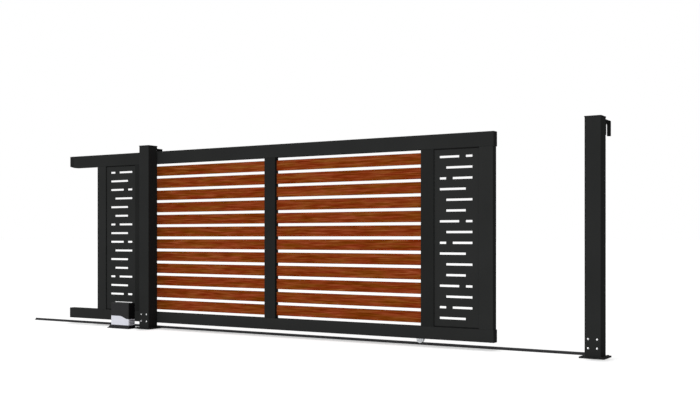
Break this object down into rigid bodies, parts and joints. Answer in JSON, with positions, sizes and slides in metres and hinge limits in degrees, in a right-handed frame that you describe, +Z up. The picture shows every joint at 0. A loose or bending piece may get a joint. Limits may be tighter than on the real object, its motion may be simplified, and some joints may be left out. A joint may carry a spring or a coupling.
{
  "type": "sliding driveway gate",
  "caption": "Sliding gate leaf with timber-look slats and slotted end panels, rolling on a ground rail behind a guide post and a strike post, with a gear motor.",
  "frame": {"origin": "centre of the guide post's base plate, on the ground", "axes": "+X along the gate from the guide post to the strike post, +Y from the posts to the leaf, +Z up"},
  "size_m": [5.594, 0.319, 1.591],
  "materials": {
    "frame_coat": "anthracite powder coat, fine texture",
    "slat_wood": "reddish brown, satin, grain along the slat",
    "rail_steel": "dark grey coat, satin",
    "zinc": "zinc plated",
    "motor_dark": "fine moulded texture",
    "motor_white": "smooth satin",
    "cap_plastic": "satin"
  },
  "bodies": {
    "posts_and_rail": {"ground_rail": "rail_steel", "guide_post": "frame_coat", "guide_post_cap": "frame_coat", "guide_post_base_plate": "frame_coat", "guide_bracket": "frame_coat", "strike_post": "frame_coat", "strike_post_cap": "frame_coat", "strike_post_base_plate": "frame_coat", "strike_catch": "frame_coat", "motor_base_plate": "motor_dark", "motor_plinth": "motor_dark", "motor_housing": "motor_dark", "motor_skirt": "motor_white"},
    "gate_leaf": {"top_rail": "frame_coat", "bottom_rail": "frame_coat", "left_end_stile": "frame_coat", "left_inner_stile": "frame_coat", "centre_stile": "frame_coat", "right_inner_stile": "frame_coat", "right_end_stile": "frame_coat", "left_panel": "frame_coat", "right_panel": "frame_coat", "left_slats": "slat_wood", "right_slats": "slat_wood", "top_rail_end_cap": "cap_plastic", "bottom_rail_end_cap": "cap_plastic", "bottom_rail_tail_cap": "cap_plastic", "top_rail_tail_nose": "cap_plastic", "front_wheel_carrier": "zinc", "rear_wheel_carrier": "zinc"},
    "front_wheel": {"front_wheel": "zinc"},
    "rear_wheel": {"rear_wheel": "zinc"}
  },
  "joints": [
    {"name": "gate_slide", "type": "slide", "parent": "posts_and_rail", "child": "gate_leaf", "axis": [1, 0, 0], "range_m": [-1.4, 0.8]},
    {"name": "front_wheel_spin", "type": "hinge", "parent": "gate_leaf", "child": "front_wheel", "pos_m": [2.6125, 0.104, 0.0403], "axis": [0, 1, 0], "continuous": true},
    {"name": "rear_wheel_spin", "type": "hinge", "parent": "gate_leaf", "child": "rear_wheel", "pos_m": [-0.1055, 0.104, 0.0403], "axis": [0, 1, 0], "continuous": true}
  ],
  "couplings": [
    {"joint": "front_wheel_spin", "follows": "gate_slide", "rad_per_m": 47.619},
    {"joint": "rear_wheel_spin", "follows": "gate_slide", "rad_per_m": 47.619}
  ]
}
